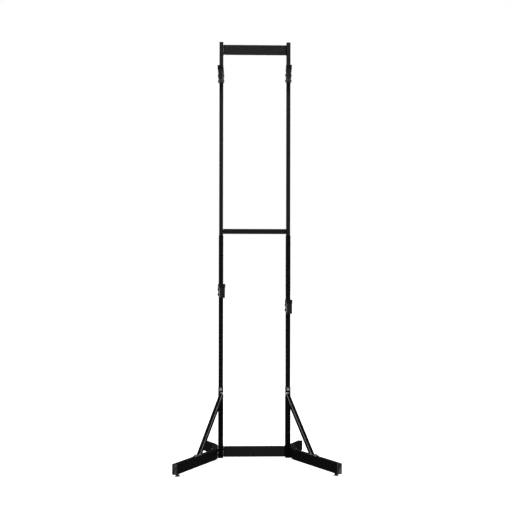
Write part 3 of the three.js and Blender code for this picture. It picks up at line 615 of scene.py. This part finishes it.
def threaded(radius, length, pitch, groove=0.55, rows_a_turn=6):
    """Threaded rod: the radius falls by groove times the pitch in the groove, which climbs one
    pitch a turn, and the end is broken by one groove's depth."""
    share = np.arange(around_thread) / around_thread
    heights = np.linspace(0, length, max(int(length / pitch * rows_a_turn), 3))
    phase = (heights[:, None] / pitch - share[None]) % 1
    depth = groove * pitch
    radii = radius - depth * np.abs(2 * phase - 1)
    limit = radius - depth + np.minimum(length - heights, depth)
    return turned(np.minimum(radii, limit[:, None]), heights, around_thread)


def square_to(axis):
    """Two directions square to an axis."""
    axis = unit(axis)
    first = unit(np.cross(axis, y_axis if abs(axis[1]) < 0.9 else z_axis))
    return first, np.cross(axis, first)


def screwed(name, size, face, axis, grip, material, slot, *nodes, body="frame"):
    """Hexagon bolt with its nut. The head sits on face and points along axis, and the shank runs
    back through a grip."""
    flats, head, nut, shank, tail, pitch = size
    face, axis = np.asarray(face, float), unit(axis)
    first, second = square_to(axis)
    back_first, back_second = square_to(-axis)
    shells = [shell(placed(hex_block(flats, head, False), face + gap * axis, first, second))]
    if nut:
        start = face - (grip + gap) * axis
        shells.append(shell(placed(hex_block(flats, nut), start, back_first, back_second)))
    length = grip + 2 * gap + nut + tail
    shells.append(shell(placed(threaded(shank / 2, length, pitch), face + gap * axis,
                               back_first, back_second)))
    add_piece(name, shells, material, slot, body, *nodes)


# Width across flats, head, nut, shank, thread beyond the nut, pitch. A screw has no nut.
m6 = (10 * mm, 2.5 * mm, 3.2 * mm, 6 * mm, 0.5 * mm, 1 * mm)
m8 = (13 * mm, 5.3 * mm, 6.5 * mm, 8 * mm, 2 * mm, 1.25 * mm)
m6_screw = (10 * mm, 4 * mm, 0, 6 * mm, 0, 1 * mm)
m5_screw = (8 * mm, 3.5 * mm, 0, 5 * mm, 0, 0.8 * mm)
print("13 mm across flats is", round(2 * float(hexagon(math.pi / 6, 13)), 2), "mm over corners")

# %% [markdown]
# ## Feet
#
# Each leg end stands on a screw-in glide: a dark moulded cone in a pale rim, a hexagon for the
# spanner and a threaded stud. The profile is turned, and its straight pieces are broken by small
# chamfers as on the real moulding.

# %% Feet
# The same nylon left pale, scuffed by the floor: a thin bright line under each dark cone.
glide_pad_plastic = finish("scuffed_pale_nylon", ("ecece8", "d6d6d2"), (0.4, 0.6),
                           0.6 * mm, 0.04 * mm, "e4e4e0", 0.5, ior=1.53)
pad_profile = np.array([(11.2, 0), (12.0, 0.3), (12.5, 1.0), (12.5, 3.4), (12.2, 4.2),
                        (11.6, 4.6)]) * mm
cone_profile = np.array([(11.4, 4.5), (11.2, 4.8), (10.4, 5.2), (8.0, 5.8), (7.0, 6.1), (6.6, 6.6),
                         (6.5, 7.9)]) * mm
hex_low, hex_tall, hex_flats = 7.7 * mm, 5 * mm, 13 * mm
stud_top, stud_radius, stud_pitch = 42 * mm, 4 * mm, 1.25 * mm
for side in sides:
    for end in ("front", "rear"):
        node = f"foot_{end}_{side}"
        low, high = (np.array(c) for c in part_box(node))
        centre = ((low + high) / 2) * (1, 1, 0)
        cone = placed(turned(*cone_profile.T), centre, x_axis, y_axis)
        above = centre + (0, 0, hex_low)
        spanner = placed(hex_block(hex_flats, hex_tall), above, x_axis, y_axis)
        stud = placed(threaded(stud_radius, stud_top - hex_low, stud_pitch), above, x_axis, y_axis)
        pad = placed(turned(*pad_profile.T), centre, x_axis, y_axis)
        body = f"{end}_{side}_foot"
        add_piece(f"glide_pad_{end}_{side}", [shell(pad)], glide_pad_plastic, "glide_plastic", body)
        add_piece(f"glide_{end}_{side}", [shell(cone), shell(spanner), shell(stud)], glide_plastic,
                  "glide_plastic", body, node)
print("four feet stand on the floor")

# %% [markdown]
# ## Folded cross pieces
#
# The base plate, the middle bar and the top panel are sheet steel, folded into a shallow channel
# with a tab at each end that bolts to the post. The outer face is followed along a path: back end
# of one tab, fold, web, fold, other tab. At each place on the path the section is the sheet seen
# edge on, and between the folds it also has a lip along its top and bottom. Near the folds the lips
# stop, as they must on a real blank, or the sheet would tear.

# %% Folded channels
def channel(tall, sheet, reach, radius):
    """Section with inwards to the right: outer face at 0, lips reaching back by reach, folds of
    the given outer radius. Eight rounded corners, so that all sections match point for point, also
    where the reach is only the sheet and there are no lips."""
    h = tall / 2
    corners = [(reach, h), (0, h), (0, -h), (reach, -h),
               (reach, sheet - h), (sheet, sheet - h), (sheet, h - sheet), (reach, h - sheet)]
    tiny = 0.04 * mm
    tip, inner = (0.3 * mm, max(radius - sheet, tiny)) if reach > 2 * sheet else (tiny, tiny)
    return rounded(corners, [tip, radius, radius, tip, tip, inner, inner, tip], 5)


def folded(span, bottom, tall, sheet, bend, lip, ahead, behind, ear=4 * mm):
    """Grid of a folded channel. At a distance u from the middle, along the outer face, the face has
    turned by f = (u - w) / bend, from 0 to a right angle, w being half the web's flat width. x is
    min(u, w) + bend sin f, y is bend (1 - cos f) - ahead plus what is left of u after the fold. The
    tabs' ends are rounded by ear: the height there is cut down along a circle."""
    w = span / 2 - bend
    bend_to = w + bend * math.pi / 2
    end = bend_to + ahead + behind - bend
    lips_to = w - sheet
    step, before_lips_end, bend_rows, ear_rows = 0.01 * mm, 12 * mm, 9, 7
    ear_turn = np.linspace(0, math.pi / 2, ear_rows)
    half = np.concatenate([[lips_to - before_lips_end, lips_to, lips_to + step, w - step],
                           w + np.linspace(0, bend * math.pi / 2, bend_rows),
                           [bend_to + step], end - ear * (1 - np.sin(ear_turn))])
    u = np.concatenate([-half[::-1], half])
    size, sign = np.abs(u), np.sign(u)
    f = np.clip((size - w) / bend, 0, math.pi / 2)
    left = np.maximum(size - bend_to, 0)
    x = sign * (np.minimum(size, w) + bend * np.sin(f))
    y = bend * (1 - np.cos(f)) - ahead + left
    inwards = np.stack([-sign * np.sin(f), np.cos(f)], 1)
    lipped = channel(tall, sheet, lip, bend / 2)
    plain = channel(tall, sheet, reach=1.02 * sheet, radius=0.9 * sheet)  # hardly past the sheet
    loops = np.where((size <= lips_to)[:, None, None], lipped, plain)
    from_end = np.minimum(end - size, ear)
    limit = tall / 2 - ear + np.sqrt(np.maximum(ear ** 2 - (ear - from_end) ** 2, 0))
    z = np.clip(loops[..., 1], -limit[:, None], limit[:, None])
    xy = np.stack([x, y], 1)[:, None] + loops[..., :1] * inwards[:, None]
    return np.concatenate([xy, z[..., None]], -1) + np.array((0, post_y, bottom + tall / 2))


crossings = {  # span, bottom, height, sheet, fold, lip, ahead and behind
    "base_cross_plate": (304, 18.4, 52.5, 2.5, 6, 12, 17, 15),
    "middle_cross_bar": (310, 1111.5, 25, 2, 6, 9, 15, 13),
    "top_panel": (310, 1991.5, 49, 2, 6, 9, 15, 13),
}
for node, sizes in crossings.items():
    rows = folded(*(size * mm for size in sizes))
    add_piece(f"folded_{node}", [shell(rows)], powder_coat, "powder_coat", "frame", node)
print("folded pieces", list(crossings))

# %% [markdown]
# ## Braces
#
# A brace is a short steel angle with its ridge to the front, between a tab on the base post and a
# plate on the leg. The angle is a straight sweep whose two ends are cut differently: square at the
# top, flush with the leg at the bottom. Every point of the section runs along the brace until it
# meets the plane of its end, which gives the true slanting cut.

# %% Braces
tab_back, tab_sheet = -19.35 * mm, 2.5 * mm
tab_rise, tab_drop, tab_wide = 9 * mm, 21 * mm, 24 * mm
brace_bolt_height, leg_top = 350 * mm, 63 * mm
foot_bolt_reach = 245 * mm
strut_lean, strut_back, strut_rise = 6 * mm, 38 * mm, 3 * mm
foot_plate_wide, foot_plate_long, foot_plate_back = 20 * mm, 58 * mm, 17 * mm
tab_edge = 0.4 * mm
strut_rows = np.array((0, 0.01, 0.02, 0.98, 0.99, 1))  # two guard rows follow each end


def angle_section(flange=18 * mm, sheet=2 * mm, turn=math.radians(34)):
    """Steel angle with its ridge forwards, turned about its ridge so that one flange faces out:
    (x cos t + y sin t, y cos t - x sin t)."""
    corners = [(flange, 0), (0, 0), (0, -flange),
               (sheet, -flange), (sheet, -sheet), (flange, -sheet)]
    spots = rounded(corners, np.array([0.5, 2.5, 0.5, 0.5, 1.2, 0.5]) * mm, 5)
    x = spots[:, 0] * math.cos(turn) + spots[:, 1] * math.sin(turn)
    y = spots[:, 1] * math.cos(turn) - spots[:, 0] * math.sin(turn)
    return np.stack([x - flange * (math.cos(turn) - math.sin(turn)) / 2,
                     y + flange * math.cos(turn) / 2], 1)


def foot_bolt_place(sign):
    """Where the front arm's centre line is foot_bolt_reach ahead of the posts, and its heading."""
    points, forwards = leg_stations(sign)
    left = (-foot_bolt_reach + post_y - points[-1, 1]) / forwards[-1, 1]
    return points[-1] + left * forwards[-1], forwards[-1]


for side, sign in sides.items():
    bolt, out = foot_bolt_place(sign)
    plate_bottom = leg_top + gap
    top = np.array((sign * (post_x - strut_lean), post_y + tab_back - tab_sheet,
                    brace_bolt_height - tab_drop))
    foot = bolt - strut_back * out
    foot[2] = plate_bottom
    axis = unit(foot - top)
    ahead = unit(np.array((0, -1, 0)) + axis * axis[1])
    across = np.cross(ahead, axis)
    section = angle_section()
    line = top + sign * section[:, :1] * across + section[:, 1:] * ahead
    post_face = (post_y + tab_back - line[:, 1]) / axis[1]
    start = np.maximum(-strut_rise, post_face)
    stop = (plate_bottom - line[:, 2]) / axis[2]
    runs = start + strut_rows[:, None] * (stop - start)
    strut = line + runs[..., None] * axis
    tab = slab(rectangle(tab_wide, tab_rise + tab_drop, corner), tab_sheet, tab_edge)
    tab_middle = (sign * post_x, post_y + tab_back, brace_bolt_height + (tab_rise - tab_drop) / 2)
    plate = slab(rectangle(foot_plate_wide, foot_plate_long, corner), tab_sheet, tab_edge)
    plate_middle = bolt - foot_plate_back * out
    plate_middle[2] = plate_bottom
    shells = [shell(strut), shell(placed(tab, tab_middle, x_axis, z_axis)),
              shell(placed(plate, plate_middle, np.cross(out, z_axis), out))]
    # The braces' pale ridge and end lines are painted highlights in their finish.
    add_piece(f"{side}_angle_brace", shells, glint_edged_coat, "powder_coat", "frame", f"{side}_brace")
print("the braces' lower bolts are", np.round(np.abs(bolt[0]), 4), "m from the middle")

# %% [markdown]
# ## Fasteners of the frame
#
# The bolts of the braces are dulled zinc: they give the few sparks of light on a black rack. Those
# through plate and leg are black zinc, since nothing shines at the legs' outer faces. The screws
# that hold the bar and the panel sit inside their channels, and one screw behind each post keeps
# the two upper stages together.

# %% Frame fasteners
base_bolt_heights = {"low": 25.5 * mm, "high": 50.5 * mm}
base_bolt_face, base_bolt_grip = 149.5 * mm, 53.5 * mm
upper_grip, lower_grip = 40.9 * mm, 4.3 * mm
tab_screw_heights = {"middle_bar": 1124 * mm, "panel_low": 2003.5 * mm, "panel_high": 2028.5 * mm}
tab_screw_face, tab_screw_grip = 153 * mm, 8 * mm
joint_height, joint_grip = 1085 * mm, 6 * mm
joint_face = post_y + stages["middle"][1] / 2
for side, sign in sides.items():
    bolt, _ = foot_bolt_place(sign)
    for level, z in base_bolt_heights.items():
        node = f"base_bolt_{level}_{side}"
        screwed(f"zinc_{node}", m8, (sign * base_bolt_face, post_y, z), (-sign, 0, 0),
                base_bolt_grip, black_zinc, "black_zinc", node)
    upper = (sign * post_x, post_y + tab_back - tab_sheet, brace_bolt_height)
    screwed(f"zinc_brace_upper_bolt_{side}", m8, upper, (0, -1, 0), upper_grip, dull_zinc, "zinc",
            f"brace_upper_bolt_{side}")
    lower = np.array((bolt[0], bolt[1], leg_top + gap + tab_sheet))
    screwed(f"zinc_brace_lower_bolt_{side}", m8, lower, z_axis, lower_grip, dull_zinc, "zinc",
            f"brace_lower_bolt_{side}")
    for name, z in tab_screw_heights.items():
        screwed(f"{name}_screw_{side}", m6_screw, (sign * tab_screw_face, post_y, z),
                (-sign, 0, 0), tab_screw_grip, dull_zinc, "zinc")
    screwed(f"post_joint_screw_{side}", m5_screw, (sign * post_x, joint_face, joint_height),
            y_axis, joint_grip, dull_zinc, "zinc")

# %% [markdown]
# ## Arms
#
# Each arm is a bracket that wraps the post, a tube that reaches forward, a rubber saddle on top and
# a plug in the open end. Two bolts cross the bracket and the tube, and a knob behind the post locks
# the arm. All four are alike apart from the post they fit, so one loop makes them, with the seat of
# the saddle as the height that everything is measured from.

# %% Bracket, tube and plug
bracket_sheet, bracket_play = 2 * mm, 0.9 * mm
bracket_top, wrap_bottom, chin = 6 * mm, -29 * mm, -54 * mm  # heights from the seat
nose_top, nose_bottom = -10 * mm, -50 * mm
tail, neck, nose, throat = 15 * mm, 5 * mm, 36 * mm, 12 * mm  # lengths from the post's faces
block_gap, block_thick, block_tall = 7 * mm, 6 * mm, 23 * mm
knob_height = bracket_top - block_tall / 2
arm_reach, arm_tall, arm_wall, arm_corner = 175 * mm, 46 * mm, 1.5 * mm, 2 * mm
arm_top = -8.3 * mm
plug_thick, plug_over, plug_tall = 4 * mm, 0.6 * mm, 48 * mm


def side_plate(deep):
    """Side plate of a bracket as (back, up) points, its corners rounded."""
    h = deep / 2
    return rounded([(h + tail, wrap_bottom), (h + tail, bracket_top), (-h - neck, bracket_top),
                    (-h - nose, nose_top), (-h - nose, nose_bottom), (-h, chin),
                    (throat - h, wrap_bottom)],
                   np.array([3, 3, 5, 5, 5, 8, 6]) * mm)


def bracket_shells(wide, deep):
    """Two side plates, the web ahead of the post and the threaded block behind it. Like all the
    pieces of an arm they are made straight ahead of the post's axis, with the seat at height 0."""
    inner = wide / 2 + bracket_play
    outer = inner + bracket_sheet
    left = (-1, 0, 0)
    plate = slab(side_plate(deep), bracket_sheet, edge=0.5 * mm)
    shells = [shell(placed(plate, (start, 0, 0), y_axis, z_axis)) for start in (-outer, inner)]
    web_wide, web_tall = 2 * outer - 1 * mm, bracket_top - chin - 4 * mm
    web = slab(rectangle(web_wide, web_tall, 0.8 * mm), bracket_sheet, edge=0.3 * mm)
    web_place = (0, -deep / 2 - bracket_play - bracket_sheet, (bracket_top + chin) / 2)
    shells.append(shell(placed(web, web_place, left, z_axis)))
    block = slab(rectangle(2 * outer, block_tall, 1.2 * mm), block_thick, edge=0.6 * mm)
    block_place = (0, deep / 2 + block_gap, knob_height)
    shells.append(shell(placed(block, block_place, left, z_axis)))
    return shells


def arm_tube_rows(wide, deep):
    """Arm tube from the web to the plug. It fills the bracket but for a gap on each side."""
    rear = -deep / 2 - bracket_play - bracket_sheet - gap
    section = rectangle(wide + 2 * (bracket_play - gap), arm_tall, arm_corner, 4)
    local = tube(section, arm_reach - plug_thick + rear, arm_wall)
    return placed(local, (0, rear, arm_top - arm_tall / 2), x_axis, z_axis)


def arm_plug_shells(wide):
    """Flange a little larger than the tube, and its insert."""
    tube_wide = wide + 2 * (bracket_play - gap)
    inside = 2 * (arm_wall + gap)
    flange_outline = rectangle(tube_wide + 2 * plug_over, plug_tall, arm_corner + 0.5 * mm)
    insert_outline = rectangle(tube_wide - inside, arm_tall - inside, 1 * mm)
    flange, insert = plug(flange_outline, plug_thick - gap, edge=1.2 * mm, dish=(3 * mm, 0.5 * mm),
                          insert_outline=insert_outline, insert=16 * mm)
    back = plug_thick - gap - arm_reach
    return [shell(placed(flange, (0, back, arm_top - plug_tall / 2), x_axis, z_axis)),
            shell(placed(insert, (0, back, arm_top - arm_tall / 2), x_axis, z_axis))]


print("an arm reaches", arm_reach, "m from the post's middle")

# %% [markdown]
# ## Saddle
#
# The saddle is solid moulded rubber: a high lip at the front keeps the load from rolling off, then
# comes the curved seat, a hump behind it and a thin tail along the arm. It is solid and keeps its
# shape, so it is a side outline carried across the arm with softly rounded rims.

# %% Saddle
valley, lip_rise, hump_rise, lip_thick, hump_thick = 32 * mm, 11 * mm, 8 * mm, 7 * mm, 10 * mm
pad_low, pad_back, tail_top = -8 * mm, -58 * mm, -3 * mm
arc_points = 13


def saddle_outline():
    """Side view as (back, up) points. The seat is an arc of the valley radius, and the outline
    leaves it at the lip where the arc has risen by lip_rise, and at the hump by hump_rise."""
    lip_angle, hump_angle = (math.acos(1 - rise / valley) for rise in (lip_rise, hump_rise))
    seat = lip_thick - arm_reach + valley * math.sin(lip_angle)
    a = np.linspace(-lip_angle, hump_angle, arc_points)
    arc = np.stack([seat + valley * np.sin(a), valley * (1 - np.cos(a))], 1)
    back = seat + valley * math.sin(hump_angle) + hump_thick
    ends = np.array([(back, hump_rise), (pad_back, tail_top), (pad_back, pad_low),
                     (-arm_reach, pad_low), (-arm_reach, lip_rise)])
    radii = np.concatenate([[2.6], np.full(arc_points - 2, 8.0), [4], [5, 1.8, 1.2, 1.5, 3]]) * mm
    return rounded(np.concatenate([arc, ends]), radii, 4)


saddle = saddle_outline()
saddle_wide = 28 * mm
saddle_rows = placed(slab(saddle, saddle_wide, edge=2 * mm, steps=4), (-saddle_wide / 2, 0, 0),
                     y_axis, z_axis)
print("the saddle is", np.round(np.ptp(saddle, axis=0) / mm, 1).tolist(), "mm long and high")

# %% [markdown]
# ## Knob
#
# The clamp knob is a six-lobed star with a dished face and a threaded stud moulded in. It is turned
# like the bolts, with a radius that swells at each lobe. The swell fades towards the middle, so
# that the dish is round.

# %% Knob
def knob_rows(radius=12 * mm, lobe=1.6 * mm):
    """Star knob: radius minus the rim's draw, minus lobe (1 - cos 6 angle) / 2 that fades
    inwards."""
    profile = np.array([  # draw from the rim, height, share of the lobes
        (2.6, 0, 1), (1.2, 0.5, 1), (0.3, 1.6, 1), (0, 3.4, 1), (0, 11.2, 1), (0.4, 13, 1),
        (1.4, 14.3, 1), (2.8, 14.9, 0.8), (4, 15, 0.4), (4.8, 14.8, 0.1), (5.6, 14, 0),
        (6.6, 13.4, 0), (8.5, 13.2, 0), (11, 13.2, 0)]) * (mm, mm, 1)
    swell = lobe * (1 - np.cos(6 * full_turn(around_knob))) / 2
    return turned(radius - profile[:, :1] - profile[:, 2:] * swell, profile[:, 1], around_knob)


def knob_shells(deep):
    """Head behind the bracket, collar and stud, all on one axis."""
    collar_tall, block_back = 2 * mm, block_gap + block_thick + gap
    collar = turned(np.array([6.4, 7, 7, 6.4]) * mm, np.array([0, 0.6, 2.5, 3.4]) * mm)
    stud = threaded(3 * mm, 16 * mm, 1 * mm)[:, ::-1]
    places = ((knob_rows(), block_back + collar_tall), (collar, block_back), (stud, gap))
    return [shell(placed(rows, (0, deep / 2 + back, knob_height), (-1, 0, 0), z_axis))
            for rows, back in places]


print("knob grid", knob_rows().shape)

# %% [markdown]
# ## Setting the arms
#
# The bracket is a little wider than its post, so an arm never points exactly straight ahead: each
# one is clamped a degree or two askew, as it happened to be when the knob was tightened. All pieces
# of an arm are made straight about the post's axis first, and are then turned about it together.

# %% The four arms
arms = {  # side, seat height, the stage that it slides on, degrees to the right of straight ahead
    "upper_left": ("left", 1902 * mm, "upper", -1.5),
    "upper_right": ("right", 1906 * mm, "upper", -2.7),
    "lower_left": ("left", 859 * mm, "middle", 2.2),
    "lower_right": ("right", 783.5 * mm, "middle", -1.1),
}
cross_bolts = {"high": (18 * mm, 24 * mm), "low": (44 * mm, 12 * mm)}  # below the seat and ahead


def turned_to(vectors, degrees):
    """Vectors turned about Z: (x cos t - y sin t, x sin t + y cos t, z)."""
    t = math.radians(degrees)
    turn = np.array([(math.cos(t), math.sin(t), 0), (-math.sin(t), math.cos(t), 0), (0, 0, 1)])
    return np.asarray(vectors, float) @ turn


for arm, (side, height, stage, degrees) in arms.items():
    wide, deep = stages[stage][:2]
    seat = np.array((sides[side] * post_x, post_y, height))
    pieces = {  # piece: its surfaces, finish, slot, body and CAD node
        "clamp_bracket": (bracket_shells(wide, deep), powder_coat, "powder_coat", "arm",
                          "arm_bracket"),
        "support_tube": ([shell(arm_tube_rows(wide, deep), wrapped=True)], powder_coat,
                         "powder_coat", "arm", "arm_tube"),
        "saddle": ([shell(saddle_rows)], pad_rubber, "pad_rubber", "arm", "cradle_pad"),
        "tube_plug": (arm_plug_shells(wide), knob_plastic, "arm_plastic", "arm", "arm_plug"),
        "star_knob": (knob_shells(deep), knob_plastic, "knob_plastic", "knob", "clamp_knob"),
    }
    for piece, (shells, material, slot, body, node) in pieces.items():
        shells = [(seat + turned_to(points, degrees), faces) for points, faces in shells]
        add_piece(f"{piece}_{arm}", shells, material, slot, f"{arm}_{body}", f"{node}_{arm}")
    outer = wide / 2 + bracket_play + bracket_sheet
    axis = turned_to(x_axis, degrees)
    for level, (drop, ahead) in cross_bolts.items():
        face = seat + turned_to((outer, -deep / 2 - ahead, -drop), degrees)
        screwed(f"cross_bolt_{level}_{arm}", m6, face, axis, 2 * outer, black_zinc, "black_zinc",
                f"arm_bolt_{level}_{arm}", body=f"{arm}_arm")
print("arms", {arm: f"{place[-1]} degrees" for arm, place in arms.items()})
